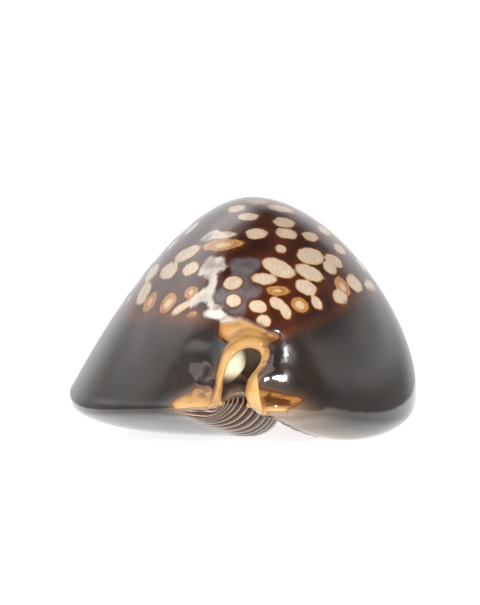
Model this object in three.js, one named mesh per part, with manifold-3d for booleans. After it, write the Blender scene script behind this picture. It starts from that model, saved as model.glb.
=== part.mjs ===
// A humpback cowrie shell: one grown piece with a domed back, a flat base and a toothed slot along the base.
// +X is the outer-lip side, +Y the front (anterior) end and +Z up. The shell stands on its base at z = 0.
// The wall is one sheet: an outer and an inner face, sewn together round the slot and the two end notches.
import * as THREE from "three";
import { mergeVertices } from "three/addons/utils/BufferGeometryUtils.js";
import Module from "manifold-3d";

// Driving dimensions, in millimetres
const HEIGHT = 39.3;
const HALF_WIDTH = 28.8;
const PEAK_Y = -4; // where the back is highest
const REAR_REACH = 35; // from the peak back to the rear pole of the dome
const FRONT_REACH = 42; // from the peak forward to the front pole
const REAR_START = THREE.MathUtils.degToRad(25); // where the rear collar leaves the dome
const FRONT_START = THREE.MathUtils.degToRad(158); // where the front collar leaves it
const CREST_X = 1.5; // the ridge leans to the outer-lip side
const BEAD = 1.3; // roundness of the wall's free edge
const TOOTH_RADIUS = 0.62;
const INNER_TEETH = 23;
const OUTER_TEETH = 20;

// Sizes that change along the shell, each as pairs of y and a value
const MIDDLE_X = along([[-41, -1.2], [-25, -0.2], [0, 0], [25, 0.3], [41, 1]]);
const MARGIN_Z_INNER = along([
  [-39, 5.9], [-33, 5.4], [-26, 5], [-14, 5.6], [-4, 6.9], [10, 7], [25, 6.3], [39, 6.4],
]);
const MARGIN_Z_OUTER = along([
  [-39, 6], [-36, 5.2], [-32, 4.2], [-27, 3.9], [-20, 4.6], [-8, 6.6], [4, 7.5], [18, 7.2], [30, 6.4],
  [39, 6.4],
]);
const BASE_Z_INNER = along([
  [-39, 5.3], [-35, 4.3], [-30, 3], [-22, 1.3], [-12, 0.1], [0, -0.4], [12, -0.2], [23, 0.9], [31, 2.6],
  [39, 4.8],
]);
const BASE_Z_OUTER = along([
  [-39, 5.1], [-35, 3.8], [-30, 2], [-22, 0.2], [-14, -0.35], [0, -0.4], [12, -0.2], [23, 0.9], [31, 2.6],
  [39, 4.8],
]);
const SLOT_X = along([
  [-41, -1.7], [-36, 0.3], [-30, 3.1], [-26, 5], [-22, 6.5], [-12, 8.6], [0, 9.2], [12, 8.7], [24, 6.8],
  [34, 4.2], [41, 1.8],
]);
const SLOT_HALF = along([
  [-41, 2.4], [-36, 2.5], [-30, 2.7], [-15, 3.1], [0, 3.2], [18, 3.4], [30, 3.5], [41, 3.1],
]);
const LIP_RISE = along([
  [-41, 1.4], [-37, 2.8], [-32, 4.2], [-26, 4.6], [-15, 3.8], [0, 3], [20, 2.6], [32, 2.4], [41, 1.4],
]); // how far the inner lip rolls up into the slot
const LIP_THICKNESS = along([[-40, 1.5], [-34, 3.2], [-24, 4.8], [0, 5.2], [24, 4.6], [34, 3.2], [41, 1.6]]);
const HOLLOW_LEFT = along([
  [-40, -3.2], [-36, -5], [-30, -10.5], [-20, -18.6], [-10, -22.4], [0, -23.2], [12, -21.2], [22, -16.2],
  [30, -9.8], [36, -4], [41, -2.2],
]);
const HOLLOW_RIGHT = along([
  [-40, 2.9], [-36, 5], [-30, 11.4], [-20, 20], [-10, 24.6], [0, 25.8], [12, 24], [22, 19.4], [30, 13],
  [36, 7], [41, 4.6],
]);
const HOLLOW_TOP = along([
  [-40, 15.8], [-36, 18], [-30, 24.4], [-20, 33], [-10, 36.5], [-4, 37], [12, 34.9], [22, 30], [30, 23.8],
  [36, 16.5], [41, 12.6],
]);
const INNER_WHORL = along([
  [-38, 0], [-35.5, 0.35], [-33, 0.85], [-30, 1], [-28, 1], [12, 1], [22, 1], [24, 0.95], [30, 0.5], [36, 0],
]); // how much of the inner whorl stands up from the floor of the hollow
const WHORL_EDGE_X = along([
  [-38, 0.7], [-33, 0.5], [-20, 0], [-8, 0], [4, 2.1], [14, 3.6], [19, 4.2], [24, 4.1], [32, 2],
]);

// Where the teeth stand, each as pairs of a count from the rear and y
const INNER_TOOTH_Y = along([
  [0, -40.5], [3.2, -37], [6.2, -33], [9.4, -27], [12, -19], [15, -8], [18.2, 4], [21.4, 16], [24.4, 26],
  [27.4, 34], [29.6, 39],
]);
const OUTER_TOOTH_Y = along([
  [0, -38], [1.6, -34], [4.2, -26], [7.6, -14], [11.4, 0], [15.2, 14], [18.6, 26], [21.2, 34], [23.4, 39],
]);
const FIRST_INNER_TOOTH = 5.5;
const FIRST_OUTER_TOOTH = 1.5;

// Each ring round the shell runs s = 0 to 1, from the inner lip of the slot, over the back, to its outer lip
const MARGIN_LEFT = 0.24;
const NOSE_END = 0.275;
const CREST = 0.5;
const MARGIN_RIGHT = 0.76;

// The four rims of the end notches, as s, x, y, z
const REAR_RIM_OUTSIDE = along([
  [0, -3.95, -39.4, 6.6], [0.12, -4.4, -39.3, 6.4], [0.24, -5.2, -39.3, 6.6], [0.28, -4.75, -39.3, 8],
  [0.34, -4.35, -39.3, 9.9], [0.4, -3.95, -39.3, 12.2], [0.45, -2.8, -39.1, 14.8], [0.5, 0.2, -38.9, 16.8],
  [0.56, 3, -38.9, 16.3], [0.61, 3.9, -39, 14.2], [0.66, 3.15, -39.1, 12.1], [0.71, 1.9, -39.2, 10.2],
  [0.735, 1.6, -39.3, 8.1], [0.76, 2.5, -39.3, 6.2], [0.88, 1.7, -39.3, 5.9], [1, 0.9, -39.4, 6.2],
]);
const REAR_RIM_INSIDE = along([
  [0, -3.4, -39.5, 7.2], [0.12, -3.2, -39.6, 8.9], [0.25, -2.85, -39.6, 11.4], [0.38, -1.75, -39.4, 13.8],
  [0.5, 0.4, -39.2, 15.1], [0.6, 2.2, -39.2, 14.7], [0.68, 2.65, -39.3, 13.6], [0.76, 1.9, -39.4, 12.1],
  [0.84, 0.65, -39.5, 10.4], [0.92, 0.15, -39.6, 8.6], [1, 0.5, -39.5, 6.9],
]);
const FRONT_RIM_OUTSIDE = along([
  [0, -2.1, 39.95, 5.2], [0.12, -2.7, 39.85, 4.9], [0.24, -3.6, 39.85, 5.3], [0.3, -3.3, 39.75, 7.6],
  [0.4, -2.4, 39.55, 11], [0.5, 1, 39.35, 13.9], [0.6, 5, 39.55, 11], [0.7, 6.2, 39.75, 7.6],
  [0.76, 6.5, 39.85, 5.4], [0.88, 5.6, 39.85, 5], [1, 4.9, 39.95, 5.2],
]);
const FRONT_RIM_INSIDE = along([
  [0, -1.7, 40.05, 6], [0.2, -1.6, 40.05, 8.6], [0.38, -0.7, 39.85, 11.2], [0.5, 1.2, 39.65, 12.4],
  [0.62, 3.4, 39.85, 11.3], [0.8, 4.6, 40.05, 8.6], [1, 4.5, 40.05, 6],
]);

// Mesh fineness
const COLUMNS = 46;
const DOME_ROWS = 22;
const COLLAR_ROWS = 5;
const BEAD_ROWS = 3;

// A smooth curve through knots of a place and one or more values, flat beyond both ends.
function along(knots) {
  const at = knots.map((k) => k[0]);
  const values = knots.map((k) => k.slice(1));
  const last = at.length - 1;
  const slope = (i, c) => (values[i + 1][c] - values[i][c]) / (at[i + 1] - at[i]);
  const tangent = (i, c) => {
    if (i === 0) return slope(0, c);
    if (i === last) return slope(last - 1, c);
    const before = at[i] - at[i - 1];
    const after = at[i + 1] - at[i];
    return (after * slope(i - 1, c) + before * slope(i, c)) / (before + after);
  };
  return (place) => {
    const x = THREE.MathUtils.clamp(place, at[0], at[last]);
    let i = 0;
    while (i < last - 1 && x >= at[i + 1]) i += 1;
    const step = at[i + 1] - at[i];
    const u = (x - at[i]) / step;
    const result = values[i].map((v, c) =>
      hermite(v, step * tangent(i, c), values[i + 1][c], step * tangent(i + 1, c), u));
    return result.length === 1 ? result[0] : result;
  };
}

function hermite(a, leaving, b, arriving, u) {
  const v = u * u;
  const w = v * u;
  return (2 * w - 3 * v + 1) * a + (w - 2 * v + u) * leaving + (3 * v - 2 * w) * b + (w - v) * arriving;
}

// The point at s on a chain of Bezier spans in the x-z plane, each given as its end in s and four corners.
function onSpans(spans, s) {
  let start = 0;
  for (const [end, ...corners] of spans) {
    if (s <= end || end === 1) {
      const curve = new THREE.CubicBezierCurve(...corners.map((c) => new THREE.Vector2(...c)));
      return curve.getPoint((s - start) / (end - start));
    }
    start = end;
  }
  return null;
}

// The outside of the dome at an angle that runs from 0 at the rear pole to PI at the front pole.
function domePoint(s, angle) {
  const rear = Math.cos(angle) > 0;
  const y = PEAK_Y - (rear ? REAR_REACH : FRONT_REACH) * Math.cos(angle);
  const swell = Math.sin(angle);
  const middle = MIDDLE_X(y);
  const left = middle - HALF_WIDTH * swell ** (rear ? 0.85 : 0.92);
  const right = middle + HALF_WIDTH * swell ** (rear ? 0.85 : 0.92);
  const top = rear ? 17.3 + (HEIGHT - 17.3) * swell ** 1.3 : 13 + (HEIGHT - 13) * swell ** 1.2;
  const crest = middle + CREST_X * swell ** 2;
  const zLeft = MARGIN_Z_INNER(y);
  const zRight = MARGIN_Z_OUTER(y);
  const floorLeft = BASE_Z_INNER(y);
  const floorRight = BASE_Z_OUTER(y);
  const lipLeft = SLOT_X(y) - SLOT_HALF(y);
  const lipRight = SLOT_X(y) + SLOT_HALF(y);
  const lipRise = LIP_RISE(y);
  const flat = lipLeft - left;
  const roll = Math.min(7, 0.36 * flat);
  const noseZ = zLeft + 2.32 * Math.min(1, (top - zLeft) / 30);
  const noseX = left + 0.42 * (noseZ - zLeft);
  const low = lipRight + 0.36 * (right - lipRight);
  const point = onSpans([
    [0.096, [lipLeft - 0.5, floorLeft + lipRise], [lipLeft - 0.9, floorLeft + 0.4 * lipRise],
      [lipLeft - 0.45 * roll, floorLeft], [lipLeft - roll, floorLeft]],
    [MARGIN_LEFT, [lipLeft - roll, floorLeft], [lipLeft - roll - 0.5 * (flat - roll), floorLeft],
      [left + 0.2, zLeft - 0.72 * (zLeft - floorLeft)], [left, zLeft]],
    [NOSE_END, [left, zLeft], [left, 0.55 * zLeft + 0.45 * noseZ],
      [0.55 * left + 0.45 * noseX, 0.45 * zLeft + 0.55 * noseZ], [noseX, noseZ]],
    [CREST, [noseX, noseZ], [noseX + 0.125 * (crest - noseX), noseZ + 0.22 * (top - noseZ)],
      [crest - 0.42 * (crest - noseX), top], [crest, top]],
    [MARGIN_RIGHT, [crest, top], [crest + 0.47 * (right - crest), top],
      [right, zRight + 0.39 * (top - zRight)], [right, zRight]],
    [0.904, [right, zRight], [right, 0.4 * zRight + 0.6 * floorRight],
      [low + 0.45 * (right - low), floorRight], [low, floorRight]],
    [1, [low, floorRight], [0.5 * (low + lipRight), floorRight],
      [lipRight + 1, floorRight + 0.8], [lipRight + 0.5, floorRight + 2.2]],
  ], s);
  return new THREE.Vector3(point.x, y, point.y);
}

// The inside of the wall at y: the hollow, with the inner whorl standing up from its floor.
function hollowPoint(s, y) {
  const lipLeft = SLOT_X(y) - SLOT_HALF(y);
  const lipRight = SLOT_X(y) + SLOT_HALF(y);
  const thick = LIP_THICKNESS(y);
  const left = HOLLOW_LEFT(y);
  const right = HOLLOW_RIGHT(y);
  const top = HOLLOW_TOP(y);
  const floor = BASE_Z_INNER(y) + thick + 1;
  const rise = top - floor;
  const edgeLeft = [lipLeft - 0.5, BASE_Z_INNER(y) + LIP_RISE(y) + 0.55 * thick];
  const edgeRight = [lipRight + 0.5, BASE_Z_OUTER(y) + 2.2 + 0.62 * thick];
  const step = [lipLeft - 0.9 - 0.04 * (lipLeft - left), Math.max(floor + 0.5, edgeLeft[1] + 0.3)];
  const width = step[0] - left;
  const cornerLeft = [left, floor + 0.16 * rise];
  const cornerRight = [right, floor + 0.12 * rise];
  const summit = [0.5 * (left + right) + 1, top];
  const hill = [Math.min(step[0] - 0.3 * width, WHORL_EDGE_X(y) - 2.5), floor + 0.6 * rise];
  const foot = [left + 0.2 * width, floor + 0.1 * rise];
  const up = hill[1] - step[1];
  const brow = [WHORL_EDGE_X(y), step[1] + 0.38 * up];
  const nook = Math.min(step[0], brow[0]) - 1.5;
  const onLip = [0.1, edgeLeft, [edgeLeft[0] - 0.25, edgeLeft[1] + 0.15],
    [step[0] + 0.1, step[1] - 0.15], step];
  const overhead = [
    [0.6, cornerLeft, [left + 0.02 * (right - left), floor + 0.42 * rise],
      [summit[0] - 0.46 * (summit[0] - left), top], summit],
    [0.86, summit, [summit[0] + 0.52 * (right - summit[0]), top], [right, floor + 0.5 * rise], cornerRight],
    [1, cornerRight, [right, floor - 0.02 * rise],
      [edgeRight[0] + 0.35 * (right - edgeRight[0]), floor + 0.1], edgeRight],
  ];
  const plain = onSpans([onLip,
    [0.42, step, [step[0] - 0.3 * width, floor + 0.2], [left + 0.3 * width, floor - 0.3], cornerLeft],
    ...overhead], s);
  const whorled = onSpans([onLip,
    [0.196, step, [nook, step[1] + 0.14 * up], [brow[0], brow[1] - 0.2 * up], brow],
    [0.276, brow, [brow[0], brow[1] + 0.25 * up],
      [hill[0] + 0.45 * (brow[0] - hill[0]), hill[1]], hill],
    [0.378, hill, [step[0] - 0.62 * width, hill[1]],
      [left + 0.24 * width, floor + 0.3 * rise], foot],
    [0.42, foot, [left + 0.17 * width, floor - 0.02 * rise],
      [left + 0.02 * width, floor - 0.02 * rise], cornerLeft],
    ...overhead], s);
  const point = plain.lerp(whorled, INNER_WHORL(y));
  return new THREE.Vector3(point.x, y, point.y);
}

// A collar point: from p leaving along a, to q arriving along b.
function bridge(p, a, q, b, u) {
  return new THREE.Vector3(
    hermite(p.x, a.x, q.x, b.x, u), hermite(p.y, a.y, q.y, b.y, u), hermite(p.z, a.z, q.z, b.z, u));
}

// How the outside leaves a notch rim: ahead and a little outward, and sideways at the two feet.
function rimLeaving(s, rim, end) {
  const nearLeft = Math.exp(-(((s - MARGIN_LEFT) / 0.05) ** 2));
  const nearRight = Math.exp(-(((s - MARGIN_RIGHT) / 0.035) ** 2));
  const centre = end === "rear" ? new THREE.Vector3(-0.8, rim.y, 10.2) : new THREE.Vector3(1.2, rim.y, 8);
  const leaving = rim.clone().sub(centre).normalize().multiplyScalar(2).add(new THREE.Vector3(0, 7, 0));
  if (end === "rear" && (s < MARGIN_LEFT || s > MARGIN_RIGHT)) leaving.set(0, 6, -1);
  if (end === "front") leaving.set(-leaving.x, 7, -leaving.z);
  const sides = end === "rear" ? [[-9, 1, -0.3], [11, 1.5, -0.3]] : [[8, 2, 0], [-8, 2, 0]];
  return leaving.multiplyScalar(1 - nearLeft - nearRight)
    .addScaledVector(new THREE.Vector3(...sides[0]), nearLeft)
    .addScaledVector(new THREE.Vector3(...sides[1]), nearRight);
}

// The places of the columns, closer together at the lips and the margins.
function columnPlaces() {
  const bump = (s, at, width) => Math.exp(-(((s - at) / width) ** 2));
  const density = (s) => 1 + 2.2 * bump(s, MARGIN_LEFT, 0.03) + 1.6 * bump(s, MARGIN_RIGHT, 0.03)
    + 2 * bump(s, 0, 0.05) + 2 * bump(s, 1, 0.05);
  const fine = 2000;
  const sums = [0];
  for (let i = 0; i < fine; i += 1) sums.push(sums[i] + density((i + 0.5) / fine));
  const places = [];
  let i = 0;
  for (let c = 0; c <= COLUMNS; c += 1) {
    const target = (c / COLUMNS) * sums[fine];
    while (i < fine && sums[i + 1] < target) i += 1;
    places.push(Math.min(1, (i + (target - sums[i]) / (sums[i + 1] - sums[i])) / fine));
  }
  return places;
}

// The rows of both faces, from the rear rim to the front rim.
function shellRows(places) {
  const outside = [];
  const inside = [];
  const ahead = new THREE.Vector3(0, 5, 0);
  const d = 0.01;
  const change = (f, s, at) => f(s, at + d).sub(f(s, at - d)).divideScalar(2 * d);
  const yAt = (angle) => domePoint(0, angle).y;
  const yFirst = yAt(REAR_START) + 1;
  const yLast = yAt(FRONT_START) - 1;
  const vector = (values) => new THREE.Vector3(...values);
  for (let r = 0; r < COLLAR_ROWS; r += 1) {
    const u = r / COLLAR_ROWS;
    outside.push(places.map((s) => {
      const rim = vector(REAR_RIM_OUTSIDE(s));
      return bridge(rim, rimLeaving(s, rim, "rear"),
        domePoint(s, REAR_START), change(domePoint, s, REAR_START).multiplyScalar(0.32), u);
    }));
    inside.push(places.map((s) => bridge(vector(REAR_RIM_INSIDE(s)), ahead,
      hollowPoint(s, yFirst), change(hollowPoint, s, yFirst).multiplyScalar(5), u)));
  }
  for (let r = 0; r < DOME_ROWS; r += 1) {
    const angle = THREE.MathUtils.lerp(REAR_START, FRONT_START, r / (DOME_ROWS - 1));
    const y = THREE.MathUtils.mapLinear(yAt(angle), yFirst - 1, yLast + 1, yFirst, yLast);
    outside.push(places.map((s) => domePoint(s, angle)));
    inside.push(places.map((s) => hollowPoint(s, y)));
  }
  for (let r = 1; r <= COLLAR_ROWS; r += 1) {
    const u = r / COLLAR_ROWS;
    outside.push(places.map((s) => {
      const rim = vector(FRONT_RIM_OUTSIDE(s));
      return bridge(domePoint(s, FRONT_START), change(domePoint, s, FRONT_START).multiplyScalar(0.3),
        rim, rimLeaving(s, rim, "front"), u);
    }));
    inside.push(places.map((s) => bridge(hollowPoint(s, yLast),
      change(hollowPoint, s, yLast).multiplyScalar(5), vector(FRONT_RIM_INSIDE(s)), ahead, u)));
  }
  return { outside, inside };
}

// The free edge, once round: rear rim, outer lip, front rim, inner lip. Each place is a row, a column and
// the way out of the wall there.
function freeEdge(rows, columns) {
  const edge = [];
  for (let c = 0; c <= columns; c += 1) edge.push([0, c, [0, -1, 0]]);
  for (let r = 1; r <= rows; r += 1) edge.push([r, columns, r === rows ? [-0.7, 0.7, 0] : [-1, 0, 0]]);
  for (let c = columns - 1; c >= 0; c -= 1) edge.push([rows, c, c === 0 ? [0.7, 0.7, 0] : [0, 1, 0]]);
  for (let r = rows - 1; r > 0; r -= 1) edge.push([r, 0, [1, 0, 0]]);
  edge[0][2] = [0.7, -0.7, 0];
  edge[columns][2] = [-0.7, -0.7, 0];
  return edge;
}

// The closed wall, as one indexed surface.
function wallGeometry() {
  const places = columnPlaces();
  const { outside, inside } = shellRows(places);
  const rows = outside.length - 1;
  const edge = freeEdge(rows, COLUMNS);
  const points = [...outside.flat(), ...inside.flat()];
  const outsideAt = (r, c) => r * (COLUMNS + 1) + c;
  const insideAt = (r, c) => outsideAt(rows + 1 + r, c);
  const loops = [edge.map(([r, c]) => outsideAt(r, c))];
  for (let b = 1; b < BEAD_ROWS; b += 1) {
    const turn = (Math.PI * b) / BEAD_ROWS;
    loops.push(edge.map(([r, c, out]) => {
      const half = outside[r][c].clone().sub(inside[r][c]).multiplyScalar(0.5);
      const middle = inside[r][c].clone().add(half);
      const way = new THREE.Vector3(...out).projectOnPlane(half.clone().normalize()).normalize();
      const bulge = Math.min(half.length(), BEAD) ** 0.35 * half.length() ** 0.65;
      points.push(middle.addScaledVector(half, Math.cos(turn)).addScaledVector(way, bulge * Math.sin(turn)));
      return points.length - 1;
    }));
  }
  loops.push(edge.map(([r, c]) => insideAt(r, c)));
  const index = [];
  const quad = (a, b, c, d) => index.push(a, b, c, a, c, d);
  for (let r = 0; r < rows; r += 1) {
    for (let c = 0; c < COLUMNS; c += 1) {
      quad(outsideAt(r, c), outsideAt(r, c + 1), outsideAt(r + 1, c + 1), outsideAt(r + 1, c));
      quad(insideAt(r, c), insideAt(r + 1, c), insideAt(r + 1, c + 1), insideAt(r, c + 1));
    }
  }
  for (let b = 0; b < BEAD_ROWS; b += 1) {
    for (let e = 0; e < edge.length; e += 1) {
      const next = (e + 1) % edge.length;
      quad(loops[b][e], loops[b + 1][e], loops[b + 1][next], loops[b][next]);
    }
  }
  // The base is worn level where it meets the ground.
  for (const p of points) p.z = Math.max(p.z, 0);
  return new THREE.BufferGeometry().setFromPoints(points).setIndex(index);
}

// One tooth: a rounded rib across a lip of the slot, from out on the base, over the lip's roll to its edge.
function toothGeometry(y, places, bow) {
  const angle = Math.acos((PEAK_Y - y) / (y < PEAK_Y ? REAR_REACH : FRONT_REACH));
  const last = places.length - 1;
  const path = places.map((s, i) => domePoint(s, angle).setY(y + bow * Math.sin((Math.PI * i) / last)));
  for (const p of path) p.z = Math.max(p.z, TOOTH_RADIUS);
  const section = new THREE.Shape();
  section.absarc(0, 0, TOOTH_RADIUS, 0, 2 * Math.PI);
  return new THREE.ExtrudeGeometry(section, {
    extrudePath: new THREE.CatmullRomCurve3(path), steps: 4, curveSegments: 3, bevelEnabled: false,
  });
}

const wasm = await Module();
wasm.setup();

function toSolid(geometry) {
  const bare = geometry.clone().deleteAttribute("normal").deleteAttribute("uv");
  const merged = mergeVertices(bare, 1e-4);
  return new wasm.Manifold(new wasm.Mesh({
    numProp: 3,
    vertProperties: merged.attributes.position.array,
    triVerts: new Uint32Array(merged.index.array),
  }));
}

let solid = toSolid(wallGeometry());
for (let i = 0; i < INNER_TEETH; i += 1) {
  const y = INNER_TOOTH_Y(FIRST_INNER_TOOTH + i);
  solid = solid.add(toSolid(toothGeometry(y, [0.012, 0.035, 0.06, 0.09], -0.4)));
}
for (let i = 0; i < OUTER_TEETH; i += 1) {
  const y = OUTER_TOOTH_Y(FIRST_OUTER_TOOTH + i);
  solid = solid.add(toSolid(toothGeometry(y, [0.93, 0.955, 0.978, 0.994], 0)));
}

const made = solid.getMesh();
const geometry = new THREE.BufferGeometry()
  .setAttribute("position", new THREE.BufferAttribute(new Float32Array(made.vertProperties), 3))
  .setIndex(new THREE.BufferAttribute(new Uint32Array(made.triVerts), 1));
geometry.computeVertexNormals();

const glossyBrown = new THREE.MeshStandardMaterial({ color: 0x3a1f12, roughness: 0.12, metalness: 0 });
const shell = new THREE.Mesh(geometry, glossyBrown);
shell.name = "shell";

const cowrie = new THREE.Group();
cowrie.name = "cowrie_shell";
cowrie.add(shell);

export default cowrie;
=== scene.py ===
import math

import bpy
import numpy as np
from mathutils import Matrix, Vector


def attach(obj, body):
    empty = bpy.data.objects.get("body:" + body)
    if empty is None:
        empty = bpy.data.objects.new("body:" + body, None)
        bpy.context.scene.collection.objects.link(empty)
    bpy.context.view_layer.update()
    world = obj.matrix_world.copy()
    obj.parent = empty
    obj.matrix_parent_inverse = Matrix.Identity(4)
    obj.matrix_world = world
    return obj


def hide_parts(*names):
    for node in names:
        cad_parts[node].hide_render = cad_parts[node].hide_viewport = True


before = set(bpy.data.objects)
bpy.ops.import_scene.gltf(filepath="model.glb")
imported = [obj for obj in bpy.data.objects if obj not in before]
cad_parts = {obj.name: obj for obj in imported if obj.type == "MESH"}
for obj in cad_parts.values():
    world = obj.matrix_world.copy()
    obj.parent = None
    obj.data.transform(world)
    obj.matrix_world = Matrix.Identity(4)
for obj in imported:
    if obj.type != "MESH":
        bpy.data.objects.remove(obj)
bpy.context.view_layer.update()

# The shell wall
# A humpback cowrie: one piece of lime and enamel, grown by the animal's mantle from both sides.
# The wall is an outer and an inner face, sewn together round the toothed slot and the two end notches.
# Lengths here are millimetres; +X is the outer-lip side, +Y the front end, and the rear end shows its spire.

HEIGHT = 39.3
HALF_WIDTH = 28.8
PEAK_Y = -4.0
REAR_REACH, FRONT_REACH = 35.0, 42.0
REAR_START, FRONT_START = math.radians(25), math.radians(158)
CREST_X = 1.5
BEAD = 1.3
MARGIN_LEFT, NOSE_END, CREST, MARGIN_RIGHT = 0.24, 0.275, 0.5, 0.76


def along(knots):
    """A smooth curve through knots of a place and one or more values, flat beyond both ends."""
    table = np.array(knots, float)
    at, values = table[:, 0], table[:, 1:]
    step = np.diff(at)
    slope = np.diff(values, axis=0) / step[:, None]
    tangent = np.empty_like(values)
    tangent[0], tangent[-1] = slope[0], slope[-1]
    weighed = step[1:, None] * slope[:-1] + step[:-1, None] * slope[1:]
    tangent[1:-1] = weighed / (step[1:] + step[:-1])[:, None]

    def value(place):
        x = np.clip(np.asarray(place, float), at[0], at[-1])
        i = np.clip(np.searchsorted(at, x, side="right") - 1, 0, len(step) - 1)
        u = ((x - at[i]) / step[i])[..., None]
        span = step[i][..., None]
        found = join(values[i], span * tangent[i], values[i + 1], span * tangent[i + 1], u)
        return found[..., 0] if values.shape[1] == 1 else found
    return value


def join(p, leaving, q, arriving, u):
    return ((2 * u**3 - 3 * u**2 + 1) * p + (u**3 - 2 * u**2 + u) * leaving
            + (3 * u**2 - 2 * u**3) * q + (u**3 - u**2) * arriving)


middle_x = along([(-41, -1.2), (-25, -0.2), (0, 0), (25, 0.3), (41, 1)])
margin_z_inner = along([
    (-39, 5.9), (-33, 5.4), (-26, 5), (-14, 5.6), (-4, 6.9), (10, 7), (25, 6.3), (39, 6.4)])
margin_z_outer = along([
    (-39, 6), (-36, 5.2), (-32, 4.2), (-27, 3.9), (-20, 4.6), (-8, 6.6), (4, 7.5), (18, 7.2),
    (30, 6.4), (39, 6.4)])
base_z_inner = along([
    (-39, 5.3), (-35, 4.3), (-30, 3), (-22, 1.3), (-12, 0.1), (0, -0.4), (12, -0.2), (23, 0.9),
    (31, 2.6), (39, 4.8)])
base_z_outer = along([
    (-39, 5.1), (-35, 3.8), (-30, 2), (-22, 0.2), (-14, -0.35), (0, -0.4), (12, -0.2), (23, 0.9),
    (31, 2.6), (39, 4.8)])
slot_x = along([
    (-41, -1.7), (-36, 0.3), (-30, 3.1), (-26, 5), (-22, 6.5), (-12, 8.6), (0, 9.2), (12, 8.7),
    (24, 6.8), (34, 4.2), (41, 1.8)])
slot_half = along([
    (-41, 2.4), (-36, 2.5), (-30, 2.7), (-15, 3.1), (0, 3.2), (18, 3.4), (30, 3.5), (41, 3.1)])
lip_rise = along([
    (-41, 1.4), (-37, 2.8), (-32, 4.2), (-26, 4.6), (-15, 3.8), (0, 3), (20, 2.6), (32, 2.4),
    (41, 1.4)])
hollow_left = along([
    (-40, -3.2), (-36, -5), (-30, -10.5), (-20, -18.6), (-10, -22.4), (0, -23.2), (12, -21.2),
    (22, -16.2), (30, -9.8), (36, -4), (41, -2.2)])
hollow_right = along([
    (-40, 2.9), (-36, 5), (-30, 11.4), (-20, 20), (-10, 24.6), (0, 25.8), (12, 24), (22, 19.4),
    (30, 13), (36, 7), (41, 4.6)])
hollow_top = along([
    (-40, 15.8), (-36, 18), (-30, 24.4), (-20, 33), (-10, 36.5), (-4, 37), (12, 34.9), (22, 30),
    (30, 23.8), (36, 16.5), (41, 12.6)])
lip_thickness = along([
    (-40, 1.5), (-34, 3.2), (-24, 4.8), (0, 5.2), (24, 4.6), (34, 3.2), (41, 1.6)])
inner_whorl = along([
    (-38, 0), (-35.5, 0.35), (-33, 0.85), (-30, 1), (-28, 1), (12, 1), (22, 1), (24, 0.95),
    (30, 0.5), (36, 0)])
whorl_edge = along([
    (-38, 0.7), (-33, 0.5), (-20, 0), (-8, 0), (4, 2.1), (14, 3.6), (19, 4.2), (24, 4.1), (32, 2)])

rear_rim_outside = along([
    (0, -3.95, -39.4, 6.6), (0.12, -4.4, -39.3, 6.4), (0.24, -5.2, -39.3, 6.6),
    (0.28, -4.75, -39.3, 8), (0.34, -4.35, -39.3, 9.9), (0.4, -3.95, -39.3, 12.2),
    (0.45, -2.8, -39.1, 14.8), (0.5, 0.2, -38.9, 16.8), (0.56, 3, -38.9, 16.3),
    (0.61, 3.9, -39, 14.2), (0.66, 3.15, -39.1, 12.1), (0.71, 1.9, -39.2, 10.2),
    (0.735, 1.6, -39.3, 8.1), (0.76, 2.5, -39.3, 6.2), (0.88, 1.7, -39.3, 5.9), (1, 0.9, -39.4, 6.2)])
rear_rim_inside = along([
    (0, -3.4, -39.5, 7.2), (0.12, -3.2, -39.6, 8.9), (0.25, -2.85, -39.6, 11.4),
    (0.38, -1.75, -39.4, 13.8), (0.5, 0.4, -39.2, 15.1), (0.6, 2.2, -39.2, 14.7),
    (0.68, 2.65, -39.3, 13.6), (0.76, 1.9, -39.4, 12.1), (0.84, 0.65, -39.5, 10.4),
    (0.92, 0.15, -39.6, 8.6), (1, 0.5, -39.5, 6.9)])
front_rim_outside = along([
    (0, -2.1, 39.95, 5.2), (0.12, -2.7, 39.85, 4.9), (0.24, -3.6, 39.85, 5.3),
    (0.3, -3.3, 39.75, 7.6), (0.4, -2.4, 39.55, 11), (0.5, 1, 39.35, 13.9), (0.6, 5, 39.55, 11),
    (0.7, 6.2, 39.75, 7.6), (0.76, 6.5, 39.85, 5.4), (0.88, 5.6, 39.85, 5), (1, 4.9, 39.95, 5.2)])
front_rim_inside = along([
    (0, -1.7, 40.05, 6), (0.2, -1.6, 40.05, 8.6), (0.38, -0.7, 39.85, 11.2),
    (0.5, 1.2, 39.65, 12.4), (0.62, 3.4, 39.85, 11.3), (0.8, 4.6, 40.05, 8.6), (1, 4.5, 40.05, 6)])


def on_spans(spans, s, y):
    """Points at the places s on a chain of Bezier spans in the x-z plane at y."""
    points = np.empty((len(s), 3))
    points[:, 1] = y
    start = 0.0
    for end, *corners in spans:
        here = (s >= start) & (s <= end)
        u = ((s[here] - start) / (end - start))[:, None]
        a, b, c, d = (np.array(corner, float) for corner in corners)
        bend = (1 - u)**3 * a + 3 * u * (1 - u)**2 * b + 3 * u**2 * (1 - u) * c + u**3 * d
        points[here] = np.insert(bend, 1, y, axis=1)
        start = end
    return points


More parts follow.
